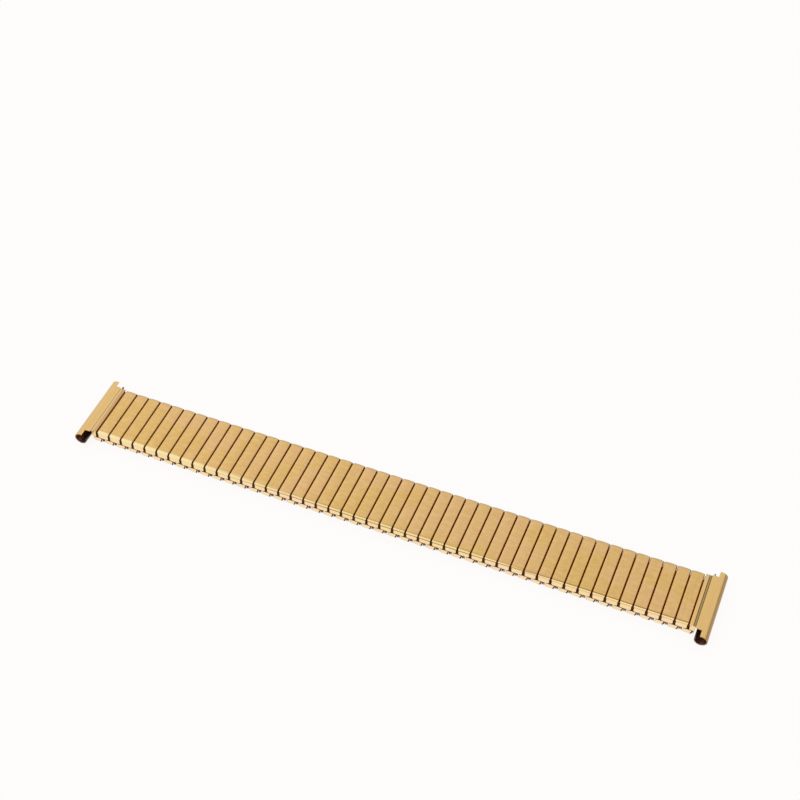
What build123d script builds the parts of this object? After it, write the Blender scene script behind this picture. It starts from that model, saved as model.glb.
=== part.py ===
from build123d import *
from math import atan2, cos, degrees, radians, sin, sqrt
import os

# Expansion watch band of the sleeve and staple kind, lying flat and relaxed.
# Lengths are in millimetres. X runs along the band, Y across it and Z up from the surface
# that it lies on. The origin is on that surface, under the middle of the band.

# Rows of links: the lower row sits half a pitch aside of the upper one.
pitch = 3.0
top_link_count = 46
top_gap = 0.36
top_sleeve_gap = 0.12
bottom_gap = 0.42
row_clearance = 0.06
seat_clearance = 0.02

# Sleeves: flat tubes of thin strip that run across the band.
sleeve_wall = 0.12
sleeve_height = 1.5
sleeve_length = 13.18
end_tab_width = 1.5

# Covers: crowned caps whose ends turn down over the staples.
cover_sheet = 0.2
cover_crown = 0.1
cover_flat_width = 1.5
cover_edge_height = 0.2
cover_bend = 0.3
flap_inset = 0.12
flap_reach = 1.82

# Staples: flat wire bent to a U, one leg in a sleeve of each row.
staple_wire = 0.3
staple_leg_length = 3.2
top_leg_offset = 0.35
bottom_leg_offset = 0.5
leg_clearance = 0.03

# Leaf springs: strips bent across their middle, which keep the staples upright.
spring_sheet = 0.12
spring_width = 2.2
spring_length = 12.0
spring_leg_clearance = 0.15

# End fittings: one folded sheet each, curled to a hook for the watch's spring bar.
roll_length = 18.0
roll_bore_radius = 1.2
roll_sheet = 0.25
roll_stand_off = 0.35
roll_lift = 0.13
roll_opening_start = 15.0
roll_opening_end = 80.0
tongue_width = 0.75
tongue_sheet = 0.28
end_flap_width = 1.15
gutter_width = 0.6
gutter_sheet = 0.1
gutter_depth = 0.12
gutter_slope = 0.08
shoulder_flare = 0.3

# Links that also bend: every fourth one, counted outwards from the fixed link.
bend_spacing = 4
first_right_bend = 26

# Worked out from the sizes above.
bottom_link_count = top_link_count + 1
fixed_link = top_link_count // 2
top_base = sleeve_height + row_clearance
sleeve_top = top_base + sleeve_height
cover_base = sleeve_top + seat_clearance
band_height = cover_base + cover_sheet + cover_crown
cover_width = pitch - top_gap
top_sleeve_width = pitch - top_sleeve_gap
bottom_sleeve_width = pitch - bottom_gap
staple_outside = sleeve_length / 2 + seat_clearance + staple_wire
cover_half_length = staple_outside + seat_clearance + cover_sheet
bottom_leg_height = sleeve_wall + leg_clearance + staple_wire / 2
top_leg_height = sleeve_top - bottom_leg_height
staple_lean = degrees(atan2(bottom_leg_offset - top_leg_offset, top_leg_height - bottom_leg_height))
staple_rise = sqrt(
    (bottom_leg_offset - top_leg_offset) ** 2 + (top_leg_height - bottom_leg_height) ** 2
)


def top_place(number):
    """Where the upper link of this number is centred along the band."""
    return (number - (top_link_count + 1) / 2) * pitch


def bottom_place(number):
    """Where the lower link of this number is centred, under the gap before that upper link."""
    return (number - (bottom_link_count + 1) / 2) * pitch


# Cover of an upper link: a channel with its ends turned down, trimmed by its end outline,
# which crowns it across the link and makes the turned ends narrower.
cover_half_width = cover_width / 2
flap_half_width = cover_half_width - flap_inset
flap_foot = band_height - flap_reach
cover_shoulder = cover_base + cover_edge_height

with BuildPart() as cover:
    with BuildSketch(Plane.YZ):
        with BuildLine():
            Polyline(
                (cover_half_length, flap_foot),
                (cover_half_length, band_height - cover_bend),
                (cover_half_length - cover_bend, band_height),
                (cover_bend - cover_half_length, band_height),
                (-cover_half_length, band_height - cover_bend),
                (-cover_half_length, flap_foot),
                (cover_sheet - cover_half_length, flap_foot),
                (cover_sheet - cover_half_length, cover_base),
                (cover_half_length - cover_sheet, cover_base),
                (cover_half_length - cover_sheet, flap_foot),
                close=True,
            )
        make_face()
    extrude(amount=cover_half_width, both=True)
    with BuildSketch(Plane.XZ):
        with BuildLine():
            Polyline(
                (-cover_half_width, cover_shoulder),
                (-cover_flat_width / 2, band_height),
                (cover_flat_width / 2, band_height),
                (cover_half_width, cover_shoulder),
                (cover_half_width, cover_base),
                (flap_half_width, cover_base),
                (flap_half_width, flap_foot),
                (-flap_half_width, flap_foot),
                (-flap_half_width, cover_base),
                (-cover_half_width, cover_base),
                (-cover_half_width, cover_shoulder),
            )
        make_face()
    extrude(amount=cover_half_length, both=True, mode=Mode.INTERSECT)

# Sleeve of an upper link: an open flat tube, wider than its cover, so that it shows in the
# gaps between the covers.
with BuildPart() as top_sleeve:
    with BuildSketch(Plane.XZ):
        with Locations((0, top_base + sleeve_height / 2)):
            Rectangle(top_sleeve_width, sleeve_height)
            Rectangle(
                top_sleeve_width - 2 * sleeve_wall,
                sleeve_height - 2 * sleeve_wall,
                mode=Mode.SUBTRACT,
            )
    extrude(amount=sleeve_length / 2, both=True)

# Sleeve of a lower link: the same tube with a folded tab that is turned up from its floor. It
# closes the middle of each end and stands out between the staples as far as they do.
end_tab_height = sleeve_height - sleeve_wall - seat_clearance

with BuildPart() as bottom_sleeve:
    with BuildSketch(Plane.XZ):
        with Locations((0, sleeve_height / 2)):
            Rectangle(bottom_sleeve_width, sleeve_height)
            Rectangle(
                bottom_sleeve_width - 2 * sleeve_wall,
                sleeve_height - 2 * sleeve_wall,
                mode=Mode.SUBTRACT,
            )
    extrude(amount=sleeve_length / 2, both=True)
    with Locations((0, sleeve_length / 2, 0)):
        Box(
            end_tab_width,
            staple_outside - sleeve_length / 2,
            end_tab_height,
            align=(Align.CENTER, Align.MIN, Align.MIN),
        )
    mirror(about=Plane.XZ)

# Staple at the near side of the band, upright, with its lower leg at the origin of X and Z.
with BuildPart() as staple_blank:
    with BuildSketch(Plane.YZ):
        with BuildLine():
            outer_leg = staple_wire / 2
            leg_tip = staple_leg_length - staple_outside
            Polyline(
                (leg_tip, -outer_leg),
                (-staple_outside, -outer_leg),
                (-staple_outside, staple_rise + outer_leg),
                (leg_tip, staple_rise + outer_leg),
                (leg_tip, staple_rise - outer_leg),
                (staple_wire - staple_outside, staple_rise - outer_leg),
                (staple_wire - staple_outside, outer_leg),
                (leg_tip, outer_leg),
                close=True,
            )
        make_face()
    extrude(amount=staple_wire / 2, both=True)

# The four staples of a lower link lean towards its neighbours.
with BuildPart() as staples:
    for side in (-1, 1):
        staple_foot = Location(
            (side * (pitch / 2 - bottom_leg_offset), 0, bottom_leg_height),
            (0, side * staple_lean, 0),
        )
        with Locations(staple_foot):
            add(staple_blank.part)
    mirror(about=Plane.XZ)

# Leaf spring of a lower link: its ends lie over the staple legs and its middle bears on the
# sleeve's roof. The upper link's spring is the same strip turned over.
spring_end_height = bottom_leg_height + staple_wire / 2 + spring_leg_clearance
spring_roof = sleeve_height - sleeve_wall - seat_clearance

with BuildPart() as bottom_spring:
    with BuildSketch(Plane.YZ):
        with BuildLine():
            spring_end = spring_length / 2
            Polyline(
                (-spring_end, spring_end_height),
                (-spring_end, spring_end_height + spring_sheet),
                (0, spring_roof),
                (spring_end, spring_end_height + spring_sheet),
                (spring_end, spring_end_height),
                (0, spring_roof - spring_sheet),
                close=True,
            )
        make_face()
    extrude(amount=spring_width / 2, both=True)

with BuildPart() as top_spring:
    with Locations(Location((0, 0, sleeve_top), (180, 0, 0))):
        add(bottom_spring.part)

# The two kinds of link, each a group of separate pieces.
with BuildPart() as top_link:
    add(cover.part)
    add(top_sleeve.part)
    add(top_spring.part)

with BuildPart() as bottom_link:
    add(bottom_sleeve.part)
    add(bottom_spring.part)
    add(staples.part)

# End fitting at the right, drawn where it stands: a short sleeve that takes the last staples,
# its spring, and a sheet that covers it as a narrow tongue, dips to a gutter, slopes down as
# a plate and is curled round. The curl is longer than the plate, so that it stands out at
# both sides as an open hook.
tongue_place = top_place(top_link_count + 1)
tongue_start = tongue_place - cover_half_width
tongue_end = tongue_start + tongue_width
tongue_top = cover_base + tongue_sheet
gutter_top = cover_base + gutter_sheet
plate_start = tongue_end + gutter_width
end_flap_place = tongue_start + flap_inset + end_flap_width / 2
end_sleeve_start = tongue_place - top_sleeve_width / 2
end_sleeve_end = tongue_place - top_leg_offset + staple_wire / 2 + leg_clearance + sleeve_wall
end_sleeve_width = end_sleeve_end - end_sleeve_start
roll_radius = roll_bore_radius + roll_sheet
roll_place = end_sleeve_end + roll_stand_off + roll_radius
roll_height = roll_radius + roll_lift
roll_top = roll_height + roll_radius
plate_top = gutter_top + gutter_depth
plate_half_length = cover_half_length + shoulder_flare

with BuildPart() as end_sleeve:
    with BuildSketch(Plane.XZ):
        with Locations((end_sleeve_start + end_sleeve_width / 2, top_base + sleeve_height / 2)):
            Rectangle(end_sleeve_width, sleeve_height)
            Rectangle(
                end_sleeve_width - 2 * sleeve_wall,
                sleeve_height - 2 * sleeve_wall,
                mode=Mode.SUBTRACT,
            )
    extrude(amount=sleeve_length / 2, both=True)

with BuildPart() as end_spring:
    with Locations((end_sleeve_start + end_sleeve_width / 2, 0, 0)):
        add(top_spring.part)
    with BuildSketch(Plane.XZ):
        with Locations((end_sleeve_start + end_sleeve_width / 2, top_base + sleeve_height / 2)):
            Rectangle(end_sleeve_width - 2 * (sleeve_wall + leg_clearance), sleeve_height)
    extrude(amount=sleeve_length / 2, both=True, mode=Mode.INTERSECT)

with BuildPart() as rolled_end:
    with BuildSketch(Plane.XZ):
        with BuildLine():
            Polyline(
                (tongue_start, cover_base),
                (tongue_start, tongue_top),
                (tongue_end, tongue_top),
                (tongue_end + gutter_slope, gutter_top),
                (plate_start - gutter_slope, gutter_top),
                (plate_start, plate_top),
                (roll_place, roll_top),
                (roll_place, roll_top - roll_sheet),
                (end_sleeve_end + seat_clearance, plate_top - roll_sheet),
                (end_sleeve_end + seat_clearance, cover_base),
                close=True,
            )
        make_face()
    extrude(amount=plate_half_length, both=True)
    with BuildSketch(Plane.XY):
        with BuildLine():
            flare_end = roll_place - roll_radius
            Polyline(
                (tongue_start, cover_half_length),
                (flare_end - shoulder_flare, cover_half_length),
                (flare_end, plate_half_length),
                (tongue_start, plate_half_length),
                close=True,
            )
        make_face()
        mirror(about=Plane.XZ)
    extrude(amount=band_height, mode=Mode.SUBTRACT)
    chamfer(edges().filter_by(Axis.X).group_by(Axis.Z)[-1], cover_bend - cover_crown)
    for reach, mode in (
        (cover_half_length, Mode.ADD),
        (cover_half_length - cover_sheet, Mode.SUBTRACT),
    ):
        with BuildSketch(Plane.XZ):
            with Locations((end_flap_place, (cover_base + flap_foot) / 2)):
                Rectangle(end_flap_width, cover_base - flap_foot)
        extrude(amount=reach, both=True, mode=mode)
    with BuildSketch(Plane.XZ):
        with Locations((roll_place, roll_height)):
            Circle(roll_radius)
            Circle(roll_bore_radius, mode=Mode.SUBTRACT)
        opening_reach = 2 * roll_radius
        with BuildLine():
            Polyline(
                (roll_place, roll_height),
                *[
                    (
                        roll_place - opening_reach * sin(radians(angle)),
                        roll_height + opening_reach * cos(radians(angle)),
                    )
                    for angle in (roll_opening_start, roll_opening_end)
                ],
                close=True,
            )
        make_face(mode=Mode.SUBTRACT)
    extrude(amount=roll_length / 2, both=True)

with BuildPart() as right_end_fitting:
    add(end_sleeve.part)
    add(end_spring.part)
    add(rolled_end.part)

with BuildPart() as left_end_fitting:
    add(mirror(right_end_fitting.part, about=Plane.YZ, mode=Mode.PRIVATE))

# Placed copies. The fixed link in the middle holds the lower links at both its sides, and
# every other upper link holds the lower link that is farther from the middle.
os.makedirs("parts", exist_ok=True)


def save(piece, name):
    piece.label = name
    export_step(piece, f"parts/{name}.step")


def place(link, position):
    return link.moved(Location((position, 0, 0)))


with BuildPart() as centre_link:
    add(place(top_link.part, top_place(fixed_link)))
    add(place(bottom_link.part, bottom_place(fixed_link)))
    add(place(bottom_link.part, bottom_place(fixed_link + 1)))
save(centre_link.part, "centre_link")

for number in range(1, top_link_count + 1):
    outward = 1 if number > fixed_link else 0
    bends = (max(number, top_link_count + 1 - number) - first_right_bend) % bend_spacing == 0
    upper = place(top_link.part, top_place(number))
    lower = place(bottom_link.part, bottom_place(number + outward))
    if number == fixed_link:
        continue
    if bends:
        save(upper, f"top_link_{number:02d}")
        save(lower, f"bottom_link_{number + outward:02d}")
    else:
        with BuildPart() as link_pair:
            add(upper)
            add(lower)
        save(link_pair.part, f"link_pair_{number:02d}")

save(right_end_fitting.part, "end_fitting_right")
save(left_end_fitting.part, "end_fitting_left")
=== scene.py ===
import math

import bmesh
import bpy
from mathutils import Matrix, Vector


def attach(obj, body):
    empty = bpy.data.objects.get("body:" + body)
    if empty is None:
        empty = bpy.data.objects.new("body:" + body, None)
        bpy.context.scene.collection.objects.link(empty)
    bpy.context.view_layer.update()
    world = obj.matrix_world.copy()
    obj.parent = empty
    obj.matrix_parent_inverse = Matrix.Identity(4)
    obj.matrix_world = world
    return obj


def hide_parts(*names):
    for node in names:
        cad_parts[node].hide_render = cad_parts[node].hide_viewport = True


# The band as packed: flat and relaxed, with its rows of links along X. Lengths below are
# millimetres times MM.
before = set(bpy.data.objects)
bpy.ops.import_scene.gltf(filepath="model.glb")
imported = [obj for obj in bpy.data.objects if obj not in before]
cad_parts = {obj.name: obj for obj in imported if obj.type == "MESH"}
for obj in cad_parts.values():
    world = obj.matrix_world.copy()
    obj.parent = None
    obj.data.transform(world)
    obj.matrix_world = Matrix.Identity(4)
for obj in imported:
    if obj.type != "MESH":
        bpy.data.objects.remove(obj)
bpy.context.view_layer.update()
MM = 0.001

# Camera at the height and side that the band is seen from, with a slight tilt of its own.
# It looks at a spot behind the band, as high as the covers' tops.
aim = Vector((-9.30, 28.84, 3.38)) * MM
camera_side = math.radians(19.84)
camera_height = math.radians(46.62)
camera_tilt = math.radians(2.235)
camera_distance = 376.71 * MM
camera_lens = 73.03
sensor_width = 36
nearest_seen = 0.01

outward = math.cos(camera_height)
away = Vector(
    (
        math.sin(camera_side) * outward,
        -math.cos(camera_side) * outward,
        math.sin(camera_height),
    )
)
bpy.ops.object.camera_add(location=aim + away * camera_distance)
camera = bpy.context.object
camera.rotation_euler = (
    away.to_track_quat("Z", "Y").to_matrix() @ Matrix.Rotation(camera_tilt, 3, "Z")
).to_euler()
camera.data.lens = camera_lens
camera.data.sensor_width = sensor_width
camera.data.clip_start = nearest_seen
bpy.context.scene.camera = camera
bpy.context.scene.view_settings.view_transform = "Standard"

# Table top: a wide sheet of white paper that runs on under the band. It shows white to the
# camera and in the gold, and takes a faint shadow beside the band and a full one under it.
paper_half = 1.6
paper_white = (0.992, 0.982, 0.974, 1)
paper_bulk = (0.995, 0.99, 0.985, 1)
paper_glow = 0.93
shade_half = Vector((69, 6.2)) * MM
shade_fade = Vector((1, 0.6)) * MM


class Sock:
    """One output of a shader node, with arithmetic that adds the nodes for it."""

    def __init__(self, maker, link):
        self.maker, self.link = maker, link

    def __add__(self, other):
        return self.maker.maths("ADD", self, other)

    def __sub__(self, other):
        return self.maker.maths("SUBTRACT", self, other)

    def __rsub__(self, other):
        return self.maker.maths("SUBTRACT", other, self)

    def __mul__(self, other):
        return self.maker.maths("MULTIPLY", self, other)

    __radd__, __rmul__ = __add__, __mul__


class Finish:
    """The node tree of a material or world: node() adds any node and gives its output."""

    def __init__(self, owner):
        owner.use_nodes = True
        self.tree = owner.node_tree
        self.tree.nodes.clear()

    def node(self, kind, settings=None, out=0, **sockets):
        """Sockets are named, with _ for a space, or numbered as i0, i1 and so on."""
        added = self.tree.nodes.new(kind)
        for name, value in (settings or {}).items():
            setattr(added, name, value)
        for name, value in sockets.items():
            key = int(name[1:]) if name[1:].isdigit() else name.replace("_", " ")
            if isinstance(value, Sock):
                self.tree.links.new(value.link, added.inputs[key])
            else:
                added.inputs[key].default_value = value
        return Sock(self, added.outputs[out]) if added.outputs else added

    def maths(self, operation, *values):
        """A Math node on these values or outputs."""
        sockets = {f"i{number}": value for number, value in enumerate(values)}
        return self.node("ShaderNodeMath", {"operation": operation}, **sockets)

    def size(self, value):
        """A value without its sign."""
        return self.maths("ABSOLUTE", value)

    def part(self, vector, axis):
        """One axis of a vector."""
        return self.node("ShaderNodeSeparateXYZ", out=axis, Vector=vector)

    def place(self):
        """Where a point lies in the piece."""
        return self.node("ShaderNodeTexCoord", out="Object")

    def at(self, axis):
        """Where a point lies along one axis."""
        return self.part(self.place(), axis)

    def turned(self, axis):
        """How far the surface looks along an axis: 1 along it, -1 the other way."""
        return self.part(self.node("ShaderNodeTexCoord", out="Normal"), axis)

    def step(self, value, low, high):
        """0 below low, 1 above high and a smooth rise between them."""
        return self.node(
            "ShaderNodeMapRange",
            {"interpolation_type": "SMOOTHSTEP"},
            Value=value, From_Min=low, From_Max=high,
        )

    def between(self, value, rise, fall):
        """1 between two soft edges, each given by where it starts and where it ends."""
        return self.step(value, *rise) * (1 - self.step(value, *fall))

    def coats(self, colour, *layers):
        """A colour with others laid over it in turn, each with its share."""
        for share, coat in layers:
            colour = self.node(
                "ShaderNodeMix", {"data_type": "RGBA"}, out=2, i0=share, i6=colour, i7=coat
            )
        return colour


bpy.ops.object.select_all(action="DESELECT")
bpy.ops.mesh.primitive_plane_add(size=2 * paper_half, location=(0, 0, 0))
paper = bpy.context.object
paper.name = "paper"

paper_look = bpy.data.materials.new("white_paper")
made = Finish(paper_look)
under = 1.0
for axis, half, fade in zip("XY", shade_half, shade_fade):
    under = under * (1 - made.step(made.size(made.at(axis)), half, half + fade))
rays = [made.node("ShaderNodeLightPath", out=f"Is {kind} Ray") for kind in ("Camera", "Glossy")]
shown = made.node("ShaderNodeEmission", Color=paper_white, Strength=1.0)
lit = made.node("ShaderNodeBsdfDiffuse", Color=paper_bulk)
shown_share = made.maths("MAXIMUM", *rays) * (1 - under) * paper_glow
surface = made.node("ShaderNodeMixShader", i0=shown_share, i1=lit, i2=shown)
made.node("ShaderNodeOutputMaterial", Surface=surface)
paper.data.materials.append(paper_look)

# Studio: a white tent that the gold mirrors, a little brighter at the left, with a dark
# strip low down at the right, which the rolled end picks up as a thin line along its flank.
# One large soft lamp stands high on the left.
tent_white = (1, 0.995, 0.985, 1)
tent_level = 0.96
bright_side = 0.05
dark_strip = 0.6
lamp_place = Vector((-0.35, 0.25, 0.6))
lamp_size = 0.5
lamp_power = 0.1

world = bpy.data.worlds.new("white_tent")
bpy.context.scene.world = world
made = Finish(world)
direction = made.node("ShaderNodeTexCoord", out="Generated")
side, height = made.part(direction, "X"), made.part(direction, "Z")
tent_light = (
    tent_level
    + (1 - made.step(side, -0.42, -0.25)) * bright_side
    - made.step(side, 0.4, 0.8) * (1 - made.step(height, 0.2, 0.6)) * dark_strip
)
to_camera = made.node("ShaderNodeLightPath", out="Is Camera Ray")
tent = made.node("ShaderNodeBackground", Color=tent_white, Strength=tent_light)
behind = made.node("ShaderNodeBackground", Color=paper_white, Strength=1.0)
surface = made.node("ShaderNodeMixShader", i0=to_camera, i1=tent, i2=behind)
made.node("ShaderNodeOutputWorld", Surface=surface)

bpy.ops.object.light_add(type="AREA", location=lamp_place)
lamp = bpy.context.object
lamp.rotation_euler = (-lamp_place).to_track_quat("-Z", "Y").to_euler()
lamp.data.size = lamp_size
lamp.data.energy = lamp_power

# Covers of the 46 upper links: caps of brushed gold plate, slightly crowned across, with
# both ends bent down over the staples. Each is pressed from one blank over its sleeve.
pitch = 3.0 * MM
upper_count = 46
fixed_link = 23
first_bend = 26
bend_every = 4
cover_base = 3.08 * MM
cover_top = 3.38 * MM
cover_half = Vector((1.32, 7.13, 0)) * MM
cover_sheet = 0.2 * MM
cover_bend = 0.42 * MM
bend_steps = 4
bend_cut = 0.15 * MM
crown_columns = (0.4, 0.75, 1)
crown_drop = 0.1 * MM
crown_curve = 2.4
flap_half = 1.2 * MM
flap_neck = 0.12 * MM
flap_foot = 1.56 * MM
flap_corner = 0.3 * MM
cover_edge = 0.04 * MM
relief = 0.01 * MM
hair = 0.004 * MM
weld = 0.002 * MM
sharp_from = math.radians(40)
smooth_to = math.radians(38)

brushed_gold = (0.685, 0.437, 0.146, 1)
rosy_gold = (0.71, 0.442, 0.198, 1)
pale_gold = (0.79, 0.55, 0.235, 1)
brush_line = (0.44, 0.26, 0.07, 1)
sloping_highlight_gold = (0.9, 0.66, 0.36, 1)
left_face_highlight = (0.98, 0.72, 0.36, 1)
bend_gold = (0.8, 0.56, 0.24, 1)
bend_reflection_cream = (0.98, 0.8, 0.44, 1)
bend_shade_brown = (0.45, 0.26, 0.04, 1)
bend_glint = (1.0, 0.85, 0.47, 1)
flap_cream = (0.97, 0.73, 0.37, 1)
flap_rose = (0.99, 0.72, 0.45, 1)
# Painted reflection: a thin dark line across the near bend.
dark_line_brown = (0.36, 0.19, 0.055, 1)
# Painted shade on the far bend of each cover.
far_edge_shade = (0.46, 0.34, 0.2, 1)
foot_shadow_brown = (0.2, 0.09, 0.03, 1)
# Painted shade on the sides of the covers in the gaps, darker low down.
gap_side_shade = (0.36, 0.09, 0.001, 1)
gap_side_deep_shade = (0.1, 0.035, 0.008, 1)


def blank(name, low, high):
    """A block of metal between two corners, the start of a piece, left in edit mode."""
    bpy.ops.object.select_all(action="DESELECT")
    bpy.ops.mesh.primitive_cube_add(size=1, location=(Vector(low) + Vector(high)) / 2)
    piece = bpy.context.object
    piece.name = name
    piece.scale = Vector(high) - Vector(low)
    bpy.ops.object.transform_apply(location=True, rotation=True, scale=True)
    bpy.ops.object.mode_set(mode="EDIT")
    return piece


def both(*places):
    """Each place on both sides of the middle."""
    return [side * place for place in places for side in (-1, 1)]


def score(axis, *places):
    """Cuts right round the piece in edit mode, square to an axis, at each place on it."""
    across = [1 if number == axis else 0 for number in range(3)]
    for place in places:
        bpy.ops.mesh.select_all(action="SELECT")
        bpy.ops.mesh.bisect(plane_co=[place * part for part in across], plane_no=across)


def pick(piece, kind, wanted):
    """Selects the verts, edges or faces that wanted() says yes to, and nothing else."""
    bpy.ops.mesh.select_mode(type=kind[:-1].upper())
    bpy.ops.mesh.select_all(action="DESELECT")
    mesh = bmesh.from_edit_mesh(piece.data)
    for part in getattr(mesh, kind):
        if wanted(part):
            part.select_set(True)
    bmesh.update_edit_mesh(piece.data)


def pull(*move):
    """Draws the selected part out by this much."""
    bpy.ops.mesh.extrude_region_move(TRANSFORM_OT_translate={"value": move})


def close_holes(piece):
    """Puts a face on every open rim."""
    mesh = bmesh.from_edit_mesh(piece.data)
    bmesh.ops.holes_fill(mesh, edges=[edge for edge in mesh.edges if edge.is_boundary])
    bmesh.update_edit_mesh(piece.data)


def near(value, place):
    """Whether two places are less than a hair apart."""
    return abs(value - place) < hair


def middle(part):
    """The middle of an edge or a face."""
    return sum((vert.co for vert in part.verts), Vector()) / len(part.verts)


def runs(edge, axis):
    """Whether an edge runs along this axis."""
    span = edge.verts[1].co - edge.verts[0].co
    return abs(span[axis]) > 0.99 * span.length


def finish_blank(piece, edge_round=0, segments=1):
    """Breaks the sharp edges and shades the rest smooth."""
    bpy.ops.mesh.select_all(action="SELECT")
    bpy.ops.mesh.remove_doubles(threshold=weld)
    bpy.ops.mesh.normals_make_consistent(inside=False)
    bpy.ops.object.mode_set(mode="OBJECT")
    if edge_round:
        broken = piece.modifiers.new("broken_edges", "BEVEL")
        broken.width, broken.segments = edge_round, segments
        broken.limit_method, broken.angle_limit = "ANGLE", sharp_from
        broken.harden_normals = False
        bpy.ops.object.modifier_apply(modifier=broken.name)
    bpy.ops.object.shade_smooth_by_angle(angle=smooth_to)


bend_start = cover_half.y - cover_bend
bend_low = cover_top - cover_bend
cover = blank(
    "cover", (-cover_half.x, -bend_start, cover_base), (cover_half.x, bend_start, cover_top)
)
columns = [share * cover_half.x for share in crown_columns]
score(0, *both(*columns[:-1]))
score(1, *both(bend_start - bend_cut))
for place in columns:
    pick(cover, "verts", lambda v: near(abs(v.co.x), place) and near(v.co.z, cover_top))
    drop = crown_drop * (place / cover_half.x) ** crown_curve
    bpy.ops.transform.translate(value=(0, 0, -drop))
pick(cover, "faces", lambda f: abs(f.normal.y) > 0.9)
bpy.ops.mesh.delete(type="FACE")
for side in (-1, 1):
    pick(cover, "edges", lambda e: all(near(v.co.y, side * bend_start) for v in e.verts))
    bpy.ops.mesh.spin(
        steps=bend_steps, angle=math.pi / 2, center=(0, side * bend_start, bend_low),
        axis=(side, 0, 0), use_auto_merge=False,
    )
    mesh = bmesh.from_edit_mesh(cover.data)
    for v in mesh.verts:
        if v.select:
            outer = v.co.y * side > cover_half.y - cover_sheet
            v.co.y = side * (cover_half.y if outer else cover_half.y - cover_sheet)
    bmesh.update_edit_mesh(cover.data)
    pull(0, 0, -flap_neck)
    bpy.ops.transform.resize(value=(flap_half / cover_half.x, 1, 1), center_override=(0, 0, 0))
    pull(0, 0, flap_foot + flap_neck - bend_low)
close_holes(cover)
pick(
    cover, "edges",
    lambda e: runs(e, 1) and near(middle(e).z, flap_foot) and near(abs(middle(e).x), flap_half),
)
bpy.ops.mesh.bevel(offset=flap_corner, segments=3, affect="EDGES")
finish_blank(cover, cover_edge)


def noise(made, scale, detail, roughness=0.5, turn=0):
    """Soft noise fixed in the piece, drawn out along the axes where its scale is low."""
    spread = made.node(
        "ShaderNodeMapping", Vector=made.place(), Rotation=(0, 0, math.radians(turn)), Scale=scale
    )
    return made.node(
        "ShaderNodeTexNoise", Vector=spread, Scale=1.0, Detail=detail, Roughness=roughness
    )


def bare_metal(made, colour, roughness, height, strength):
    """Ends a tree as metal of this colour and roughness, with a fine relief."""
    bump = made.node("ShaderNodeBump", Strength=strength, Distance=relief, Height=height)
    metal = made.node(
        "ShaderNodeBsdfPrincipled",
        Base_Color=colour, Metallic=1.0, Roughness=roughness, Normal=bump,
    )
    made.node("ShaderNodeOutputMaterial", Surface=metal)


# Brushed gold plate: mottled lines along the top, a paler bend and polished turned ends, with
# painted highlights, a painted glint, painted reflections and painted shade and shadow laid over
# them. The way round an end counts from the middle of the cover, along its top and down its flap.
cover_look = bpy.data.materials.new("brushed_gold_cover")
made = Finish(cover_look)
x, y, z = (made.at(axis) for axis in "XYZ")
way_round = made.size(y) + (cover_top - z)
near_end = 1 - made.step(y, -1 * MM, 1 * MM)
# Painted shade on the far bend.
far_edge = made.step(y, 6.3 * MM, 6.9 * MM)
rightwards = made.step(x, -50 * MM, -10 * MM)
lines = noise(made, (9000, 180, 9000), 3.0, 0.6)
mottle = noise(made, (420, 1300, 900), 3.0, 0.65, turn=38)
rosy = made.step(noise(made, (110, 170, 100), 2.0, turn=-25), 0.4, 0.62)
# Painted highlight: sloping faces and faces turned to the left are painted lighter, where light
# catches them.
sloping = 1 - made.step(made.size(made.turned("Z")), 0.95, 0.995)
# Painted shade: the sides of the covers, seen in the gaps between links, are painted dark brown,
# darker still low down.
shaded_side = made.step(made.size(made.turned("X")), 0.8, 0.97)
low_shaded_side = 1 - made.step(z, cover_base - 0.25 * MM, cover_base - 0.05 * MM)
# Painted reflections on the near bend: a paler start on the left-hand links, painted shade at its
# start on the right-hand links, and a painted glint across it.
start_of_bend = made.step(way_round, 6.45 * MM, 6.75 * MM)
shaded = made.between(way_round, (6.55 * MM, 6.75 * MM), (6.98 * MM, 7.1 * MM))
glinting = made.between(way_round, (7.02 * MM, 7.12 * MM), (7.3 * MM, 7.42 * MM))
flap = made.step(way_round, 7.72 * MM, 7.9 * MM)
# Painted shadow: a dark line along the foot of each flap.
flap_foot_shadow = 1 - made.step(z, flap_foot, flap_foot + 0.1 * MM)
# Painted reflection: a thin dark line across the near bend, higher up the bend at the right-hand
# links.
dark_line_place = 7.74 * MM - made.step(x, 18 * MM, 46 * MM) * (0.93 * MM)
painted_dark_line = 1 - made.step(made.size(way_round - dark_line_place), 0.05 * MM, 0.16 * MM)
colour = made.coats(
    brushed_gold,
    (rosy, rosy_gold),
    (made.step(mottle, 0.35, 0.7) * 0.6, pale_gold),
    (made.step(lines, 0.4, 0.75) * 0.26, brush_line),
    (sloping * 0.2, sloping_highlight_gold),
    (made.step(made.turned("X") * -1, 0.1, 0.35) * 0.6, left_face_highlight),
    (made.step(way_round, 7.3 * MM, 7.5 * MM), bend_gold),
    (start_of_bend * (1 - rightwards) * near_end * 0.8, bend_reflection_cream),
    (shaded * rightwards * near_end * 0.4, bend_shade_brown),
    (glinting * near_end, bend_glint),
    (made.step(way_round, 7.6 * MM, 7.85 * MM), made.coats(flap_cream, (rosy, flap_rose))),
    (painted_dark_line * rightwards * near_end * 0.95, dark_line_brown),
    (far_edge * 0.6, far_edge_shade),
    (flap_foot_shadow * 0.6, foot_shadow_brown),
    (shaded_side, made.coats(gap_side_shade, (low_shaded_side, gap_side_deep_shade))),
)
top = 1 - flap
roughness = 0.34 + (lines - 0.5) * 0.2 * top + (mottle - 0.5) * 0.1 * top - flap * 0.14
bare_metal(made, colour, roughness, (lines + mottle * 0.6) * top, 0.25)
cover.data.materials.append(cover_look)


def bends(number):
    """Whether a hinge sits at an upper link: every fourth does, six at each side."""
    return (max(number, upper_count + 1 - number) - first_bend) % bend_every == 0


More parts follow.
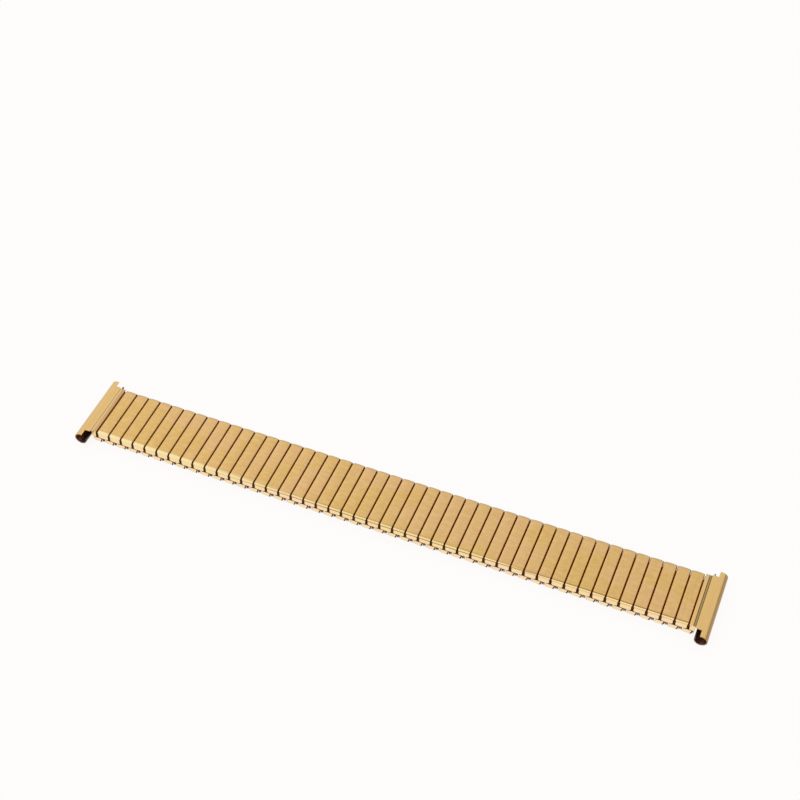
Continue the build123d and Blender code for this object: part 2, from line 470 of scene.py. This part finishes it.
def upper_body(number):
    """The body of an upper link."""
    if number == fixed_link:
        return "centre_link"
    return f"{'top_link' if bends(number) else 'link_pair'}_{number:02d}"


def lower_body(number):
    """The body of a lower link: its own, or that of the upper link towards the middle."""
    if number in (fixed_link, fixed_link + 1):
        return "centre_link"
    upper = number - 1 if number > fixed_link else number
    return f"bottom_link_{number:02d}" if bends(upper) else f"link_pair_{upper:02d}"


def set_links(pattern, name, count, body_of_link):
    """A copy of the pattern for every link of a row, riding on its own body."""
    for number in range(1, count + 1):
        link = pattern.copy()
        link.data = pattern.data.copy()
        link.name = link.data.name = f"{name}_{number:02d}"
        link.data.transform(Matrix.Translation(((number - (count + 1) / 2) * pitch, 0, 0)))
        bpy.context.scene.collection.objects.link(link)
        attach(link, body_of_link(number))
        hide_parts(body_of_link(number))
    bpy.data.objects.remove(pattern)


set_links(cover, "cover", upper_count, upper_body)

# Upper sleeves: flat tubes of thin strip under the covers, each with a leaf spring that
# bows down on the staple legs. Only their ends and their sides in the gaps are seen.
sleeve_wall = 0.12 * MM
sleeve_height = 1.5 * MM
sleeve_half_length = 6.59 * MM
sleeve_corner = 0.16 * MM
upper_base = 1.56 * MM
upper_half_width = 1.44 * MM
wall_reach = 7.03 * MM
spring_half = Vector((1.1, 6.0, 0)) * MM
spring_sheet = 0.12 * MM
spring_end = 0.6 * MM
spring_rise = 0.64 * MM
spring_cuts = (0.0, 0.35, 0.65, 0.85)

# Painted light and shade on the strips: cream and grey where lit, brown where shaded, and a deep
# brown painted shade at the ends and on tabs and staples.
strip_cream = (0.98, 0.78, 0.50, 1)
sleeve_shade_brown = (0.33, 0.078, 0.001, 1)
deep_shade_brown = (0.1, 0.034, 0.008, 1)
spring_grey = (0.42, 0.36, 0.28, 1)
spring_shade_brown = (0.10, 0.06, 0.03, 1)
end_shade_start = 6.4 * MM
dark_line_lean = 0.3


def tube(name, half_width, base):
    """A flat tube: a block with rounded corners, bored through from end to end."""
    piece = blank(
        name, (-half_width, -sleeve_half_length, base),
        (half_width, sleeve_half_length, base + sleeve_height),
    )
    pick(piece, "edges", lambda e: runs(e, 1))
    bpy.ops.mesh.bevel(offset=sleeve_corner, segments=2, affect="EDGES")
    pick(piece, "faces", lambda f: abs(f.normal.y) > 0.9)
    bpy.ops.mesh.inset(thickness=sleeve_wall, depth=0)
    bpy.ops.mesh.bridge_edge_loops()
    finish_blank(piece)
    return piece


def leaf(name):
    """A strip bowed up to the roof of its sleeve."""
    piece = blank(
        name, -spring_half + Vector((0, 0, spring_end)),
        spring_half + Vector((0, 0, spring_end + spring_sheet)),
    )
    cuts = [share * spring_half.y for share in spring_cuts]
    score(1, *both(*cuts))
    for place in cuts:
        pick(piece, "verts", lambda v: near(abs(v.co.y), place))
        rise = spring_rise * (1 - (place / spring_half.y) ** 2)
        bpy.ops.transform.translate(value=(0, 0, rise))
    finish_blank(piece)
    return piece


def joined(first, *others):
    """One piece made of several that are welded or held together."""
    bpy.ops.object.select_all(action="DESELECT")
    for piece in (first, *others):
        piece.select_set(True)
    bpy.context.view_layer.objects.active = first
    bpy.ops.object.join()
    return first


def plated_with_painted_light(name, light, shade_colour, roughness, grain, shown, top=None, painted_dark_line=False):
    """Plated strip with light and shade painted on: painted light on the faces that are shown,
    painted shade elsewhere and at its ends. Shown names their axes, where Z is down, and top is
    the height above which painted shade takes over. The dark line paints an upright line of shade
    to the right of each lower link's middle."""
    look = bpy.data.materials.new(name)
    made = Finish(look)
    height = made.at("Z")
    lines = noise(made, (grain, 0.04 * grain, grain), 3.0)
    cloud = noise(made, (420, 420, 420), 3.0)
    pale = [part * share for part, share in zip(light, (1, 0.93, 0.82, 1))]
    worn = [part * share for part, share in zip(light, (0.8, 0.77, 0.7, 1))]
    lit = 0.0
    for axis in shown:
        facing = made.turned("Z") * -1 if axis == "Z" else made.size(made.turned(axis))
        lit = lit + made.step(facing, 0.5, 0.9)
    # Painted shade above the given height, under the flap's foot.
    if top:
        lit = lit * (1 - made.step(height, top - 0.1 * MM, top + 0.05 * MM))
    # Painted shade: an upright dark line, leaning with the staples, to the right of each lower
    # link's middle.
    if painted_dark_line:
        beside = made.maths("WRAP", made.at("X"), pitch / 2, -pitch / 2) - height * dark_line_lean
        dark_line_sides = (0.5 * MM, 0.56 * MM), (0.82 * MM, 0.88 * MM)
        lit = lit * (1 - made.between(beside, *dark_line_sides))
    # Painted shade at the ends of the strip, in the notches between the links.
    end_shade = made.step(made.size(made.at("Y")), end_shade_start, end_shade_start + 0.2 * MM)
    tone = made.coats(
        light,
        (made.step(cloud, 0.45, 0.7) * 0.4, pale),
        (made.step(lines, 0.35, 0.75) * 0.25, worn),
    )
    colour = made.coats(made.coats(shade_colour, (end_shade, deep_shade_brown)), (lit, tone))
    bare_metal(made, colour, roughness + (lines - 0.5) * 0.2, lines, 0.2)
    return look


# Sleeves and springs: painted light on the faces that are shown, painted shade on the rest.
sleeve_look = plated_with_painted_light("plated_sleeve", strip_cream, sleeve_shade_brown, 0.3, 6000, "Z")
spring_look = plated_with_painted_light("spring_strip", spring_grey, spring_shade_brown, 0.35, 6000, "YZ")

upper_sleeve = tube("upper_sleeve", upper_half_width, upper_base)
bpy.ops.object.mode_set(mode="EDIT")
for side in (-1, 1):
    pick(
        upper_sleeve, "faces",
        lambda f: f.normal.y * side > 0.9 and abs(middle(f).x) > upper_half_width - sleeve_wall,
    )
    pull(0, side * (wall_reach - sleeve_half_length), 0)
bpy.ops.object.mode_set(mode="OBJECT")
upper_sleeve.data.materials.append(sleeve_look)
upper_spring = leaf("upper_spring")
upper_spring.data.transform(
    Matrix.Translation((0, 0, upper_base + sleeve_height)) @ Matrix.Rotation(math.pi, 4, "X")
)
upper_spring.data.materials.append(spring_look)
upper_link = joined(upper_sleeve, upper_spring)
set_links(upper_link, "upper_sleeve", upper_count, upper_body)

# Lower links: the same tubes with a tab that closes the middle of each end, and a leaf
# spring. Four wire staples lean out from each and hold it to the two links above it.
lower_half_width = 1.29 * MM
tab_half_width = 0.84 * MM
tab_top = 1.36 * MM
tab_sunk = 0.01 * MM
tab_edge = 0.04 * MM
wire = 0.3 * MM
wire_bend = 0.2 * MM
leg_tip = 3.71 * MM
staple_out = 6.91 * MM
foot_height = 0.3 * MM
head_height = 2.76 * MM
foot_place = 1.0 * MM
lean = math.atan2(0.15, 2.46)

# Tabs and staples: painted light on the faces that are shown, painted shade above the given
# height, on the rest and along a leaning dark line.
tab_look = plated_with_painted_light(
    "plated_tab", strip_cream, deep_shade_brown, 0.25, 6000, "YZ", top=1.15 * MM, painted_dark_line=True
)
staple_look = plated_with_painted_light(
    "staple_wire", strip_cream, deep_shade_brown, 0.25, 9000, "XYZ", top=1.3 * MM, painted_dark_line=True
)

lower_sleeve = tube("lower_sleeve", lower_half_width, 0)
lower_sleeve.data.materials.append(sleeve_look)
tabs = []
for side in (-1, 1):
    ends = sorted((side * (sleeve_half_length - tab_sunk), side * staple_out))
    tab = blank("tab", (-tab_half_width, ends[0], 0), (tab_half_width, ends[1], tab_top))
    pick(tab, "faces", lambda f: f.normal.z > 0.9)
    widening = tab_top * math.tan(lean) / tab_half_width
    bpy.ops.transform.resize(value=(1 + widening, 1, 1))
    finish_blank(tab, tab_edge)
    tab.data.materials.append(tab_look)
    tabs.append(tab)
lower_spring = leaf("lower_spring")
lower_spring.data.materials.append(spring_look)

rise = (head_height - foot_height) / math.cos(lean)
staple = blank("staple", (-wire / 2, -staple_out, -wire / 2), (wire / 2, -leg_tip, wire / 2))
score(1, wire - staple_out)
pick(staple, "faces", lambda f: f.normal.z > 0.9 and middle(f).y < wire - staple_out)
pull(0, 0, rise - wire)
pull(0, 0, wire)
pick(
    staple, "faces",
    lambda f: f.normal.y > 0.9 and middle(f).z > rise - wire and middle(f).y < -leg_tip - wire,
)
pull(0, staple_out - wire - leg_tip, 0)
pick(
    staple, "edges",
    lambda e: runs(e, 0) and near(middle(e).y, -staple_out)
    and (near(middle(e).z, -wire / 2) or near(middle(e).z, rise + wire / 2)),
)
bpy.ops.mesh.bevel(offset=wire_bend, segments=3, affect="EDGES")
finish_blank(staple)
staple.data.materials.append(staple_look)
staples = []
for side in (-1, 1):
    for half_turn in (0, math.pi):
        placed = staple.copy()
        placed.data = staple.data.copy()
        placed.data.transform(
            Matrix.Translation((side * foot_place, 0, foot_height))
            @ Matrix.Rotation(side * lean, 4, "Y")
            @ Matrix.Rotation(half_turn, 4, "Z")
        )
        bpy.context.scene.collection.objects.link(placed)
        staples.append(placed)
bpy.data.objects.remove(staple)
lower_link = joined(lower_sleeve, lower_spring, *tabs, *staples)
set_links(lower_link, "lower_link", upper_count + 1, lower_body)

# End fittings: a short sleeve for the last staples, under one sheet of gold plate. The
# sheet is a narrow tongue, a gutter and a flat plate, and is curled to an open hook for
# the watch's spring bar, which stands out at both sides.
tongue_start = 69.18 * MM
tongue_end = 69.93 * MM
tongue_top = 3.36 * MM
tongue_drop = 0.1 * MM
tongue_cut = 0.22 * MM
gutter_end = 70.53 * MM
gutter_top = 3.18 * MM
gutter_slope = 0.08 * MM
gutter_sheet = 0.1 * MM
plate_half = 7.13 * MM
plate_top = 3.30 * MM
plate_sheet = 0.25 * MM
plate_lip = 0.27 * MM
plate_fall = 0.04 * MM
plate_edge = 0.03 * MM
flare = 0.3 * MM
end_flap_start = 69.30 * MM
end_flap_end = 70.45 * MM
end_flap_rise = 0.08 * MM
end_flap_corner = 0.15 * MM
roll_place = Vector((72.25, 0, 1.58)) * MM
roll_radius = 1.45 * MM
roll_sheet = 0.25 * MM
roll_half_length = 9.0 * MM
roll_start = math.radians(15)
roll_turn = math.radians(295)
roll_steps = 30
end_sleeve_low = 69.06 * MM
end_sleeve_high = 70.45 * MM
end_spring_room = 0.15 * MM

satin_gold = (0.76, 0.50, 0.19, 1)
satin_rose = (0.74, 0.52, 0.27, 1)
satin_line = (0.5, 0.3, 0.09, 1)
left_tongue_shade = (0.5, 0.27, 0.14, 1)
gutter_shade = (0.4, 0.27, 0.12, 1)
left_gutter_lit = (0.72, 0.5, 0.24, 1)
gutter_rim_shade = (0.12, 0.06, 0.02, 1)
end_flap_cream = (0.95, 0.7, 0.38, 1)
flank_shade = (0.3, 0.15, 0.045, 1)
cut_brown = (0.3, 0.16, 0.08, 1)
lip_shade = (0.1, 0.045, 0.025, 1)
hook_brown = (0.33, 0.17, 0.12, 1)

rolled_end = blank(
    "rolled_end", (tongue_start, -plate_half, cover_base), (tongue_end, plate_half, tongue_top)
)
pick(rolled_end, "faces", lambda f: f.normal.x > 0.9)
roll_top = roll_place.z + roll_radius
for along, up, sheet in (
    (gutter_slope, gutter_top - tongue_top, gutter_sheet),
    (gutter_end - tongue_end - 2 * gutter_slope, 0, gutter_sheet),
    (gutter_slope, plate_top - gutter_top, plate_sheet),
    (plate_lip, -plate_fall, plate_sheet),
    (roll_place.x - gutter_end - plate_lip, roll_top - plate_top + plate_fall, plate_sheet),
):
    pull(along, 0, 0)
    mesh = bmesh.from_edit_mesh(rolled_end.data)
    moved = [v for v in mesh.verts if v.select]
    high = max(v.co.z for v in moved)
    for v in moved:
        v.co.z = high + up if near(v.co.z, high) else high + up - sheet
    bmesh.update_edit_mesh(rolled_end.data)
pick(rolled_end, "verts", lambda v: v.co.x > gutter_end + plate_lip / 2)
widening = flare / plate_half
bpy.ops.transform.resize(value=(1, 1 + widening, 1), center_override=(0, 0, 0))
score(1, *both(plate_half - tongue_cut))
pick(rolled_end, "verts", lambda v: near(abs(v.co.y), plate_half) and near(v.co.z, tongue_top))
bpy.ops.transform.translate(value=(0, 0, -tongue_drop))
finish_blank(rolled_end, plate_edge, 2)

flaps = []
for side in (-1, 1):
    ends = sorted((side * plate_half, side * (plate_half - cover_sheet)))
    end_flap = blank(
        "flap", (end_flap_start, ends[0], flap_foot),
        (end_flap_end, ends[1], cover_base + end_flap_rise),
    )
    pick(end_flap, "edges", lambda e: runs(e, 1) and near(middle(e).z, flap_foot))
    bpy.ops.mesh.bevel(offset=end_flap_corner, segments=3, affect="EDGES")
    finish_blank(end_flap, plate_edge)
    flaps.append(end_flap)

roll = blank(
    "roll", (roll_place.x - roll_sheet, -roll_half_length, roll_top - roll_sheet),
    (roll_place.x, roll_half_length, roll_top),
)
pick(roll, "verts", lambda v: not near(v.co.x, roll_place.x))
bpy.ops.mesh.delete(type="VERT")
bpy.ops.mesh.select_all(action="SELECT")
bpy.ops.mesh.spin(
    steps=roll_steps, angle=roll_turn, center=roll_place, axis=(0, -1, 0), use_auto_merge=False
)
bpy.ops.mesh.select_all(action="SELECT")
bpy.ops.mesh.remove_doubles(threshold=weld)
close_holes(roll)
finish_blank(roll, plate_edge)
roll.data.transform(
    Matrix.Translation(roll_place)
    @ Matrix.Rotation(-roll_start, 4, "Y")
    @ Matrix.Translation(-roll_place)
)

# Satin gold plate, brushed along the roll and darker brown inside the hook, with painted shade in
# the gutter, on the left-hand tongue, on the roll's outer flank and on the low outside of its
# lip. Its places along the band count from the middle, so that one finish serves both ends.
end_look = bpy.data.materials.new("satin_gold_end")
made = Finish(end_look)
x, z = made.at("X"), made.at("Z")
along = made.size(x)
left = 1 - made.step(x, -1 * MM, 1 * MM)
beyond, above = along - roll_place.x, z - roll_place.z
from_bar = made.maths("SQRT", beyond * beyond + above * above)
inside = 1 - made.step(from_bar, roll_radius - roll_sheet, roll_radius - 0.6 * roll_sheet)
lines = noise(made, (7000, 140, 7000), 3.0)
broad = noise(made, (300, 50, 300), 2.0)
# Painted shade: the tongue of the left-hand fitting is painted darker.
tongue = 1 - made.step(along, tongue_end - 0.1 * MM, tongue_end)
# Painted shade in the gutter of the right-hand fitting, painted lighter at the left-hand one,
# with painted shade at its walls, weaker at the left.
gutter = made.between(
    along, (tongue_end - 0.03 * MM, tongue_end + 0.05 * MM),
    (gutter_end - 0.05 * MM, gutter_end + 0.03 * MM),
)
gutter_floor = made.between(
    along, (tongue_end + 0.1 * MM, tongue_end + 0.2 * MM),
    (gutter_end - 0.2 * MM, gutter_end - 0.1 * MM),
)
# Painted shade on the low outside of the lip, on the band side of the hook.
lip = made.between(
    along, (gutter_end, gutter_end + 0.15 * MM), (roll_place.x, roll_place.x + 0.3 * MM)
)
low = 1 - made.step(z, 2.0 * MM, 2.6 * MM)
sideways = made.step(made.size(made.turned("Y")), 0.7, 0.9)
# Painted shade on the outer flank of the roll.
lengthways = made.step(made.size(made.turned("X")), 0.5, 0.9)
before_plate = 1 - made.step(along, gutter_end - 0.1 * MM, gutter_end)
after_gutter = made.step(along, gutter_end, gutter_end + 0.1 * MM)
past_bar = made.step(along, roll_place.x, roll_place.x + 0.5 * roll_radius)
colour = made.coats(
    satin_gold,
    (made.step(broad, 0.35, 0.7) * 0.5, satin_rose),
    (made.step(lines, 0.35, 0.75) * 0.22, satin_line),
    (tongue * left * 0.6, left_tongue_shade),
    (gutter, made.coats(gutter_shade, (left, left_gutter_lit))),
    (gutter * (1 - gutter_floor) * (0.8 - left * 0.5), gutter_rim_shade),
    (sideways * before_plate, end_flap_cream),
    (lengthways * past_bar * 0.8, flank_shade),
    (sideways * after_gutter * 0.85, cut_brown),
    (lip * low * 0.95, lip_shade),
    (inside, hook_brown),
)
bare_metal(made, colour, 0.28 + (lines - 0.5) * 0.15 + inside * 0.2, lines, 0.2)

rolled_end = joined(rolled_end, roll, *flaps)
rolled_end.data.materials.append(end_look)

end_half = (end_sleeve_high - end_sleeve_low) / 2
end_sleeve = tube("end_sleeve", end_half, upper_base)
end_sleeve.data.transform(Matrix.Translation((end_sleeve_low + end_half, 0, 0)))
end_sleeve.data.materials.append(sleeve_look)
end_spring = leaf("end_spring")
end_spring.data.transform(
    Matrix.Translation((end_sleeve_low + end_half, 0, upper_base + sleeve_height))
    @ Matrix.Rotation(math.pi, 4, "X")
    @ Matrix.Diagonal(((end_half - end_spring_room) / spring_half.x, 1, 1, 1))
)
end_spring.data.materials.append(spring_look)
end_sleeve = joined(end_sleeve, end_spring)

for pattern in (rolled_end, end_sleeve):
    name = pattern.name
    for hand, turn in (("right", 0), ("left", math.pi)):
        fitting = pattern.copy()
        fitting.data = pattern.data.copy()
        fitting.name = fitting.data.name = f"{name}_{hand}"
        fitting.data.transform(Matrix.Rotation(turn, 4, "Z"))
        bpy.context.scene.collection.objects.link(fitting)
        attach(fitting, f"end_fitting_{hand}")
        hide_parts(f"end_fitting_{hand}")
    bpy.data.objects.remove(pattern)
